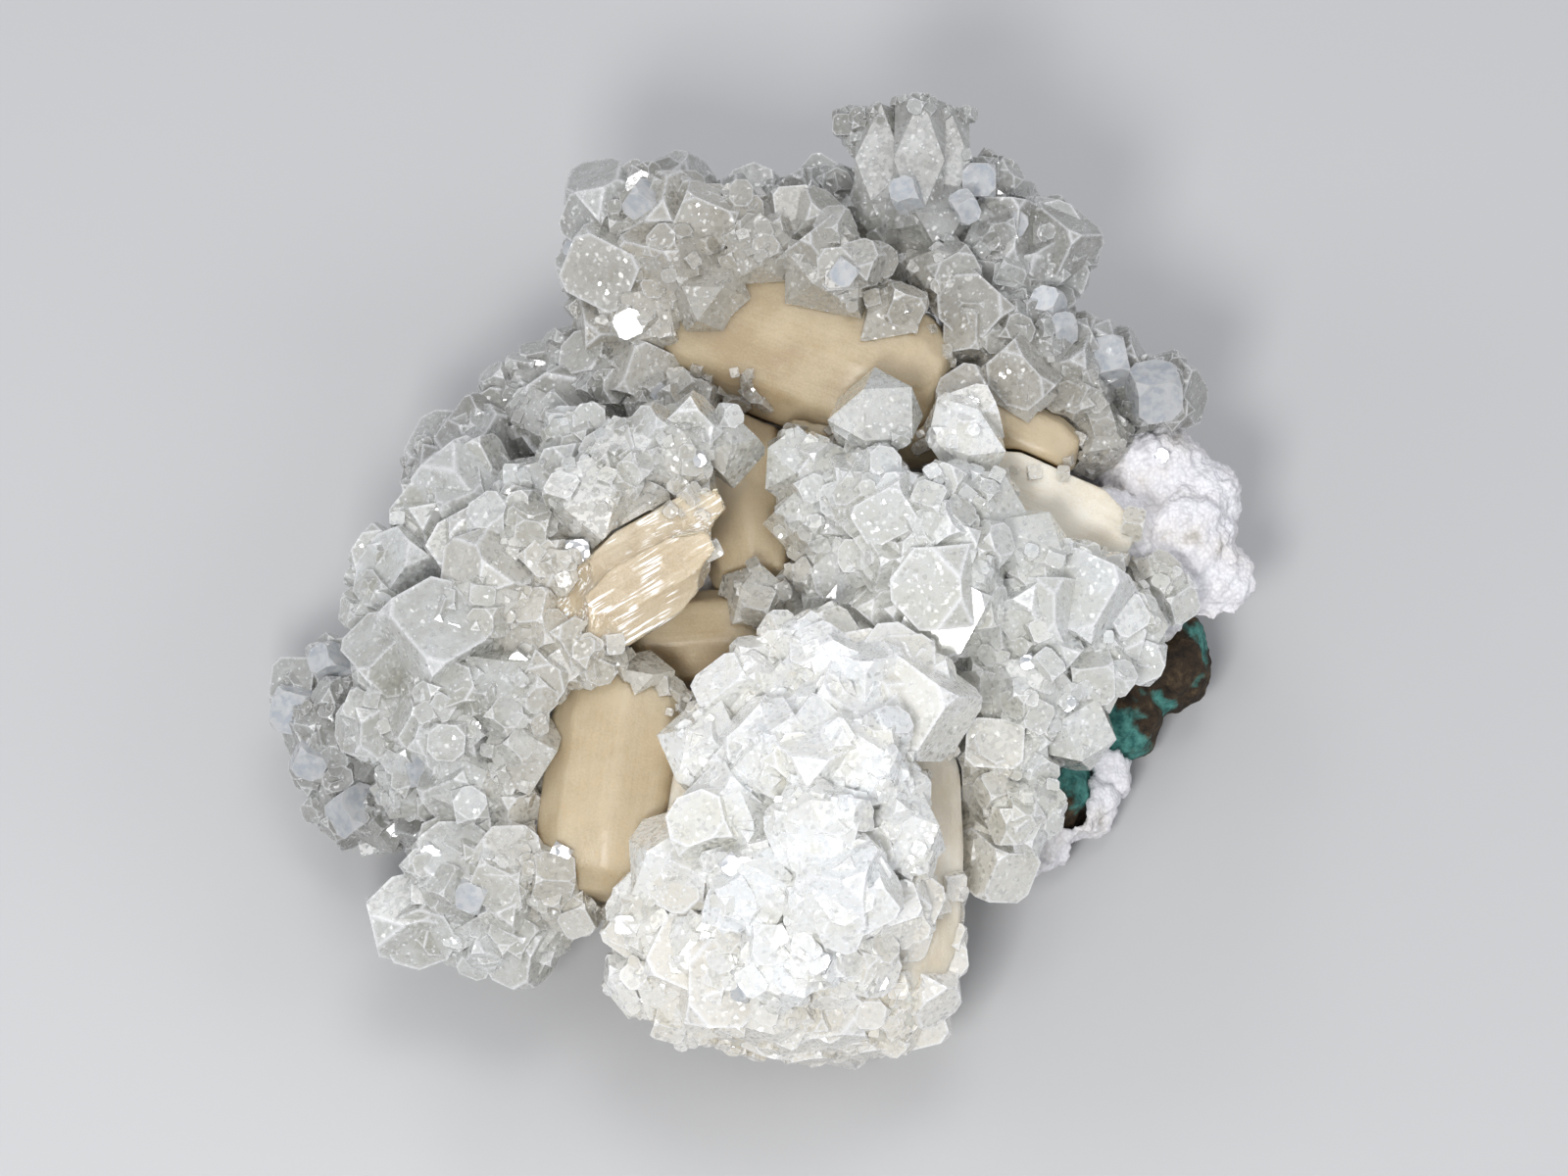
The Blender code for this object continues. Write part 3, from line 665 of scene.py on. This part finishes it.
def milky_finish(name, deep, bright, clear):
    """Milky glass: part of the light goes through, bent, and the rest scatters white from
    veils inside. Each crystal has its own tone and is warmer near a sheaf, its edges carry
    a painted highlight in white, as does a painted glint on one grain in seven, small flat
    grains that lean their own way glitter, and a smooth skin of glass over them flashes
    where it faces a light. The deep and bright colours of each look hold painted light and
    painted shade for the group that wears it."""
    made, tree, shader = new_finish(name)
    place = object_place(tree)
    out, number, point = tilted_grains(tree, place, MILK_GRAIN, MILK_TILT, MILK_LEANING)
    veil = noise_of(tree, place, MILK_VEIL_SPACING, 3.0, 0.65)
    veil = computed(tree, "MULTIPLY", veil, 0.8)
    tone = wired(tree, "Attribute", {"attribute_name": "tone"}).outputs["Fac"]
    mix = computed(tree, "ADD", veil, computed(tree, "MULTIPLY", tone, 0.26))
    mix = computed(tree, "ADD", mix, computed(tree, "MULTIPLY", number, 0.14))
    # each look's pair of colours: lighter as painted light or darker as painted shade for its
    # group
    milk = ramp_of(tree, mix, [(0.36, deep), (0.80, bright)])
    near_sheaf = wired(tree, "Attribute", {"attribute_name": "warm"}).outputs["Fac"]
    warmth = computed(tree, "MULTIPLY", near_sheaf, WARM_SHARE)
    milk = mixed(tree, warmth, milk, MILK_WARM)
    # painted highlight: white along the crystals' edges and on the glinting grains
    rim = computed(tree, "MULTIPLY", edge_highlight_of(tree, EDGE_HIGHLIGHT_WIDTH), EDGE_HIGHLIGHT_STRENGTH)
    white = computed(tree, "MAXIMUM", rim, point)
    tree.links.new(mixed(tree, white, milk, PAINTED_HIGHLIGHT_WHITE), shader.inputs["Base Color"])
    tree.links.new(out, shader.inputs["Normal"])
    roughness = stepped(tree, number, 0.60, 0.66, ROUGH_GRAIN, SMOOTH_GRAIN)
    tree.links.new(roughness, shader.inputs["Roughness"])
    shader.inputs["Transmission Weight"].default_value = clear
    shader.inputs["IOR"].default_value = GLASS_BEND
    shader.inputs["Specular IOR Level"].default_value = 1.0
    shader.inputs["Coat Weight"].default_value = 0.7
    shader.inputs["Coat Roughness"].default_value = 0.06
    return made


def unit_crystal(cut):
    """The points and triangles of a square prism of half size 1 whose eight corners are
    cut off, each at the cut's distance along the edges."""
    shape = bmesh.new()
    bmesh.ops.create_cube(shape, size=2)
    bmesh.ops.bevel(shape, geom=list(shape.verts), offset=cut, affect="VERTICES", segments=1)
    bmesh.ops.triangulate(shape, faces=shape.faces)
    shape.verts.index_update()
    points = np.array([v.co for v in shape.verts])
    faces = np.array([[v.index for v in f.verts] for f in shape.faces])
    shape.free()
    return points, faces


def all_crystals(name, cut, middles, axes, sizes, tones):
    """One crystal for each middle, as one piece: the unit form times its three half
    sizes, turned to its three axes and moved to the middle. The attributes keep the
    place in the unit form, the cut, the crystal's own tone and how near a sheaf it is."""
    points, faces = unit_crystal(cut)
    grown = points[None] * sizes[:, None]
    turned = np.einsum("npi,nij->npj", grown, axes) + middles[:, None]
    counts = np.arange(len(middles))[:, None, None] * len(points)
    piece = piece_from(name, turned.reshape(-1, 3), (faces[None] + counts).reshape(-1, 3))
    own = np.tile(points[faces].reshape(-1, 3), (len(middles), 1))
    tone, warm = (np.repeat(each, len(faces)) for each in (tones, near_sheaves(middles)))
    mark_crystals(piece.data, own, cut, tone, warm)
    return piece


def near_sheaves(places):
    """1 on a sheaf, falling to 0 at 8 mm from the nearest one."""
    away = [sheaf_tree.find_nearest(Vector(place))[3] for place in places]
    return np.clip(1 - np.array(away) / WARM_REACH, 0, 1)


def mark_crystals(mesh, own, cut, tone, warm):
    """Writes a crystal mesh's attributes: own at each face corner, and the others once
    for each face. Each is one value for the whole mesh or one for every corner or face."""
    mark = mesh.attributes.new("own", "FLOAT_VECTOR", "CORNER")
    full = np.empty((len(mark.data), 3), np.float32)
    full[:] = own
    mark.data.foreach_set("vector", full.ravel())
    for name, value in (("cut", cut), ("tone", tone), ("warm", warm)):
        mark = mesh.attributes.new(name, "FLOAT", "FACE")
        full = np.empty(len(mark.data), np.float32)
        full[:] = value
        mark.data.foreach_set("value", full)


def axes_from(outwards, lean, rng):
    """Three square axes for each crystal, the third within lean of its way out."""
    third = outwards + rng.normal(size=outwards.shape) * lean
    third /= np.linalg.norm(third, axis=1, keepdims=True)
    first = np.cross(third, rng.normal(size=third.shape))
    first /= np.linalg.norm(first, axis=1, keepdims=True)
    return np.stack([first, np.cross(third, first), third], axis=1)


def open_places(points, faces, count, rng):
    """Places scattered over a node's faces, with the way out at each: a place is kept
    where nothing of the specimen is within 3 mm in front of it."""
    corners = points[faces]
    across = np.cross(corners[:, 1] - corners[:, 0], corners[:, 2] - corners[:, 0])
    area = np.linalg.norm(across, axis=1)
    chosen = rng.choice(len(faces), size=count, p=area / area.sum())
    share = rng.dirichlet((1, 1, 1), size=count)
    places = np.einsum("ni,nij->nj", share, corners[chosen])
    outwards = across[chosen] / area[chosen][:, None]
    clear = [
        whole_specimen.ray_cast(Vector(p + n * 0.2 * MM), Vector(n), OPEN_IN_FRONT)[0] is None
        for p, n in zip(places, outwards)
    ]
    return places[clear], outwards[clear]


def node_tree(nodes):
    """A search tree over these CAD nodes' triangles."""
    points, faces, count = [], [], 0
    for node in nodes:
        some, corners = node_arrays(node)
        points.append(some)
        faces.append(corners + count)
        count += len(some)
    points, faces = np.concatenate(points).tolist(), np.concatenate(faces).tolist()
    return BVHTree.FromPolygons(points, faces)


def sets_apart(middles, reach):
    """Crystals sorted into sets in which none touches another: each joins the first set
    that is free around it."""
    gaps = np.linalg.norm(middles[:, None] - middles[None], axis=2)
    touch = gaps < reach[:, None] + reach[None]
    chosen = np.full(len(middles), -1)
    for i, row in enumerate(touch):
        taken = set(chosen[:i][row[:i]])
        chosen[i] = next(k for k in itertools.count() if k not in taken)
    return [np.flatnonzero(chosen == k) for k in range(chosen.max() + 1)]


def place_in_view(places):
    """Where places are seen: right and up, in millimetres, from the view's middle, each
    divided by how near the place is to the viewer."""
    offset = places - np.array(VIEW_MIDDLE)
    near = 1 - offset @ np.array(TOWARDS_VIEWER) / VIEW_DISTANCE
    return offset[:, 0] / near / MM, offset @ np.array(UPWARDS) / near / MM


def covers_bare(places, half):
    """True for each crystal that would be seen over one of the bare places."""
    right, up = place_in_view(places)
    over = np.zeros(len(places), bool)
    for middle_right, middle_up, wide, high in BARE_PLACES:
        across = (right - middle_right) / (wide + half)
        upwards = (up - middle_up) / (high + half)
        over |= np.hypot(across, upwards) < 1
    return over


def crystal_cluster(node, name, seed, count, carrier, carried):
    """A group's CAD form with crystals grown out of its faces, all joined. The larger a
    crystal, the deeper it is sunk, and it leans a little from the face's way out. Some
    more grow on the sheaf that carries the group. A crystal that would hide a bare place
    or leave the specimen's box is left out."""
    rng = np.random.default_rng(seed)
    points, faces = node_arrays(node)
    bases = [(points, faces, count)]
    if carrier:
        bases.append((*node_arrays(frame["nodes"][carrier]), carried))
    kinds = []
    for (bed, corners, number), kind in itertools.product(bases, CRYSTAL_KINDS):
        share, low, high, sink, lean = kind
        places, outwards = open_places(bed, corners, int(number * share), rng)
        half = low + (high - low) * rng.random(len(places)) ** SMALL_ONES_OFTENER
        sizes = half[:, None] * MM * rng.uniform(*UNEVEN, size=(len(places), 3))
        middles = places - outwards * half[:, None] * MM * sink
        kept = ~covers_bare(middles, half)
        axes = axes_from(outwards, lean, rng)
        kinds.append((middles[kept], axes[kept], sizes[kept]))
    middles, axes, sizes = (np.concatenate(values) for values in zip(*kinds))
    extent = np.abs(axes * sizes[:, :, None]).sum(axis=1) * CUT_REACH
    inside = np.all((middles - extent > BOX_LOW) & (middles + extent < BOX_HIGH), axis=1)
    middles, axes, sizes = middles[inside], axes[inside], sizes[inside]
    tones = rng.random(len(middles))
    body = piece_from(name, points, faces)
    mark_crystals(body.data, (0, 0, 1), 0.0, 0.5, near_sheaves(points[faces].mean(axis=1)))
    grown = bpy.data.collections.new("grown")
    reach = np.linalg.norm(sizes, axis=1) * CUT_REACH
    for k, chosen in enumerate(sets_apart(middles, reach)):
        values = (each[chosen] for each in (middles, axes, sizes, tones))
        grown.objects.link(all_crystals("grown", CUTS[k % len(CUTS)], *values))
    join = body.modifiers.new("grown", "BOOLEAN")
    join.operation = "UNION"
    join.solver = "MANIFOLD"
    join.operand_type = "COLLECTION"
    join.collection = grown
    bpy.context.view_layer.update()
    graph = bpy.context.evaluated_depsgraph_get()
    joined = bpy.data.meshes.new_from_object(body.evaluated_get(graph))
    body.modifiers.clear()
    joined.materials.clear()
    body.data = joined
    for crystals in list(grown.objects):
        bpy.data.objects.remove(crystals)
    bpy.data.collections.remove(grown)
    return body


whole_specimen = node_tree(frame["nodes"].values())
sheaf_tree = node_tree(frame["nodes"][name] for name in SHEAVES)
CLUSTERS = {
    # seed, crystals, look, sheaf that carries some more, how many on it; the look is painted
    # light, lighter for the groups in front and darker, painted shade, for those further back
    # or in the pocket
    "apophyllite_front": (1, 1300, "bright", "stilbite_front", 900),
    "apophyllite_left": (2, 1500, "plain", "stilbite_centre", 220),
    "apophyllite_right": (3, 1500, "fair", "stilbite_right", 200),
    "apophyllite_tower": (4, 1200, "grey", "stilbite_right_back", 160),
    "apophyllite_upper_left": (5, 800, "grey", "stilbite_upper", 420),
    "apophyllite_back_left": (6, 500, "grey", None, 0),
    "apophyllite_far_left": (7, 300, "grey", None, 0),
    "apophyllite_lower_left": (8, 500, "plain", "stilbite_left", 260),
    "apophyllite_single_centre": (9, 40, "plain", None, 0),
    "apophyllite_single_clear": (10, 40, "bright", None, 0),
    "apophyllite_single_pocket": (11, 30, "plain", None, 0),
}
# Lit and shaded copies of one milky finish: painted light for the groups in front, painted
# shade for those further back and in the pocket.
milky_looks_lit_and_shaded = {
    "bright": milky_finish("apophyllite_milky_painted_full_light", MILK_CREAM_PAINTED_FULL_LIGHT, MILK_WHITE_PAINTED_FULL_LIGHT, 0.15),
    "fair": milky_finish("apophyllite_milky_painted_mid_light", MILK_SOFT_PAINTED_MID_LIGHT, MILK_FAIR_PAINTED_MID_LIGHT, 0.20),
    "plain": milky_finish("apophyllite_milky_painted_mid_shade", MILK_GREY_PAINTED_MID_SHADE, MILK_FAIR_PAINTED_MID_LIGHT, 0.30),
    "grey": milky_finish("apophyllite_milky_painted_shade", MILK_DEEP_PAINTED_SHADE, MILK_PALE_PAINTED_SHADE, 0.38),
}
for node_name, (seed, count, look, carrier, carried) in CLUSTERS.items():
    piece_name = node_name.replace("apophyllite", "crystals")
    node = frame["nodes"][node_name]
    cluster = crystal_cluster(node, piece_name, seed * 100, count, carrier, carried)
    cluster.data.materials.append(milky_looks_lit_and_shaded[look])
    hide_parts(node_name)
    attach(cluster, "root")


# Clear crystals. A few apophyllite crystals grew clear, with a breath of blue, and stand
# on the milky ones, which show through them. Each is a crystal of its own.

CLEAR_DEEP = (0.74, 0.79, 0.86, 1)
CLEAR_PALE = (0.97, 0.98, 0.99, 1)
CLEAR_TINT = (0.90, 0.94, 0.97, 1)
CLEAR_DENSITY = 25.0
CLEAR_SHARE = 0.58
CLEAR_EDGE_HIGHLIGHT_WIDTH = 0.14
CLEAR_GRAIN, CLEAR_TILT, CLEAR_LEANING = 0.6 * MM, 0.14, 0.4
CLEAR_VEIL_SPACING = 1.1 * MM
CLEAR_CUT = 0.5
CLEAR_LEAN, CLEAR_STANDS = 0.3, 0.25
FLASH_LONGER, FLASH_SUNK = 0.8, 0.1
ROOM_IN_BOX = 1.3
KEY_LIGHT = Vector((-0.06, -0.30, 0.36))
CLEAR_CRYSTALS = (
    # right and up of the middle as seen and half size, in mm, and how much longer than wide
    (24.0, 45.0, 1.9, 1.6), (22.4, 42.0, 1.3, 1.2), (27.8, 40.0, 1.1, 1.3),
    (38.6, 24.6, 2.2, 1.1), (43.6, 21.6, 2.6, 1.0), (-48.6, -8.8, 1.6, 1.2),
    (-46.6, -10.6, 1.2, 1.0), (-52.4, -14.2, 2.4, 1.1), (-50.6, -19.8, 1.8, 1.0),
    (-46.4, -25.6, 2.2, 1.2), (-33.0, 14.0, 1.7, 1.4), (-36.4, 12.6, 1.3, 1.2),
    (31.8, 31.0, 1.6, 1.0), (33.4, 28.4, 1.3, 1.1), (-13.6, 43.0, 1.7, 1.1),
    (-20.2, 37.0, 1.5, 1.2), (16.0, 43.4, 1.5, 1.3), (-32.6, -34.8, 1.6, 1.0),
    (-2.6, -44.6, 1.6, 1.0), (8.8, 34.8, 1.4, 1.0), (-38.6, -20.6, 1.9, 1.0),
)
FLASHING_CRYSTALS = (
    # right and up as seen and half size, in mm: their flat end faces halfway between the
    # viewer and the key light, so that it flashes
    (-34.9, -5.6, 1.1), (-20.8, 3.8, 1.3), (-11.6, 21.4, 1.0), (-37.4, -30.6, 1.2),
    (6.4, -42.4, 1.1), (-22.8, -30.4, 1.1), (-3.6, -31.6, 1.0), (44.6, 14.4, 0.8),
    (-7.2, 13.8, 0.7), (29.6, -8.8, 0.8), (34.2, -13.4, 0.9), (13.2, -44.8, 0.8),
)


def clear_finish():
    """Clear glass with a breath of blue: thin veils inside, a painted highlight in white along
    the edges, and flat grains that lean less than the milky crystals' do."""
    made, tree, shader = new_finish("apophyllite_clear")
    place = object_place(tree)
    out, number, _ = tilted_grains(tree, place, CLEAR_GRAIN, CLEAR_TILT, CLEAR_LEANING)
    tree.links.new(out, shader.inputs["Normal"])
    tree.links.new(stepped(tree, number, 0.5, 1.0, 0.04, 0.14), shader.inputs["Roughness"])
    veil = noise_of(tree, place, CLEAR_VEIL_SPACING, 4.0, 0.65)
    glass = ramp_of(tree, veil, [(0.40, CLEAR_DEEP), (0.54, CLEAR_PALE)])
    # painted highlight: white along the crystals' edges
    rim = edge_highlight_of(tree, CLEAR_EDGE_HIGHLIGHT_WIDTH)
    tree.links.new(mixed(tree, rim, glass, PAINTED_HIGHLIGHT_WHITE), shader.inputs["Base Color"])
    shader.inputs["Transmission Weight"].default_value = CLEAR_SHARE
    shader.inputs["IOR"].default_value = GLASS_BEND
    inside = wired(tree, "VolumeAbsorption")
    inside.inputs["Color"].default_value = CLEAR_TINT
    inside.inputs["Density"].default_value = CLEAR_DENSITY
    tree.links.new(inside.outputs["Volume"], tree.nodes["Material Output"].inputs["Volume"])
    return made


def clear_crystals(name, seed):
    """One closed crystal at each listed place, its lower half mostly sunk into what is
    seen there, and standing near its way out, or with its end to the key light."""
    rng = np.random.default_rng(seed)
    eye = VIEW_MIDDLE + TOWARDS_VIEWER * VIEW_DISTANCE
    listed = [(*crystal, CLEAR_LEAN) for crystal in CLEAR_CRYSTALS]
    listed += [(*crystal, FLASH_LONGER, 0.0) for crystal in FLASHING_CRYSTALS]
    found = []
    for right, up, half, longer, lean in listed:
        aim = VIEW_MIDDLE + Vector((right, 0, 0)) * MM + UPWARDS * up * MM
        hit, outwards, _, _ = whole_specimen.ray_cast(eye, (aim - eye).normalized())
        if hit is None:
            continue
        middle = hit + outwards * half * (CLEAR_STANDS if lean else -FLASH_SUNK) * MM
        if not lean:
            outwards = (eye - hit).normalized() + (KEY_LIGHT - hit).normalized()
            outwards.normalize()
        found.append((*middle, *outwards, half * MM, half * longer * MM, lean))
    found = np.array(found)
    sizes = found[:, [6, 6, 7]]
    room = sizes * ROOM_IN_BOX
    middles = np.clip(found[:, :3], BOX_LOW + room, BOX_HIGH - room)
    axes = axes_from(found[:, 3:6], found[:, 8:], rng)
    return all_crystals(name, CLEAR_CUT, middles, axes, sizes, rng.random(len(found)))


clear = clear_crystals("crystals_clear", 77)
clear.data.materials.append(clear_finish())
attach(clear, "root")


# The stage: a plain pale floor and five soft lights. The key light is small and near,
# in front at the left, so that facets glint, and the others are broad and weaker.

FLOOR_COLOUR = (0.52, 0.52, 0.52, 1)
FLOOR_HALF = 3.0
ROOM_COLOUR = (0.9, 0.93, 1.0, 1)
ROOM_STRENGTH = 0.54
LIGHTS = (
    # name, place, what it aims at, side in metres, power in watts
    ("key", KEY_LIGHT, (0, -0.02, 0.03), 0.10, 1.20),
    ("top", (0.05, 0.10, 0.80), (0, 0, 0.02), 0.30, 1.0),
    ("fill", (0.7, -0.1, 0.6), (0, 0, 0.02), 0.4, 1.0),
    ("side", (-0.7, 0.0, 0.4), (0, 0, 0.03), 0.3, 0.8),
    ("back", (-0.3, 0.7, 0.6), (0, 0, 0.03), 0.3, 1.0),
)


def plain_floor():
    """One flat square, far wider than the view."""
    sides = (-1, -1), (1, -1), (1, 1), (-1, 1)
    corners = [(x * FLOOR_HALF, y * FLOOR_HALF, 0) for x, y in sides]
    floor = piece_from("floor", corners, [(0, 1, 2, 3)])
    made, tree, shader = new_finish("floor")
    shader.inputs["Base Color"].default_value = FLOOR_COLOUR
    shader.inputs["Roughness"].default_value = 0.9
    floor.data.materials.append(made)
    return floor


def soft_light(name, place, aim, side, power):
    """A square area light turned towards what it aims at."""
    data = bpy.data.lights.new(name, "AREA")
    data.shape = "SQUARE"
    data.size = side
    data.energy = power
    light = bpy.data.objects.new(name, data)
    light.location = place
    way = Vector(aim) - Vector(place)
    light.rotation_euler = way.to_track_quat("-Z", "Y").to_euler()
    bpy.context.scene.collection.objects.link(light)


plain_floor()
for light in LIGHTS:
    soft_light(*light)
world = bpy.data.worlds.new("room")
bpy.context.scene.world = world
world.use_nodes = True
world.node_tree.nodes["Background"].inputs["Color"].default_value = ROOM_COLOUR
world.node_tree.nodes["Background"].inputs["Strength"].default_value = ROOM_STRENGTH
bpy.context.scene.view_settings.view_transform = "Standard"
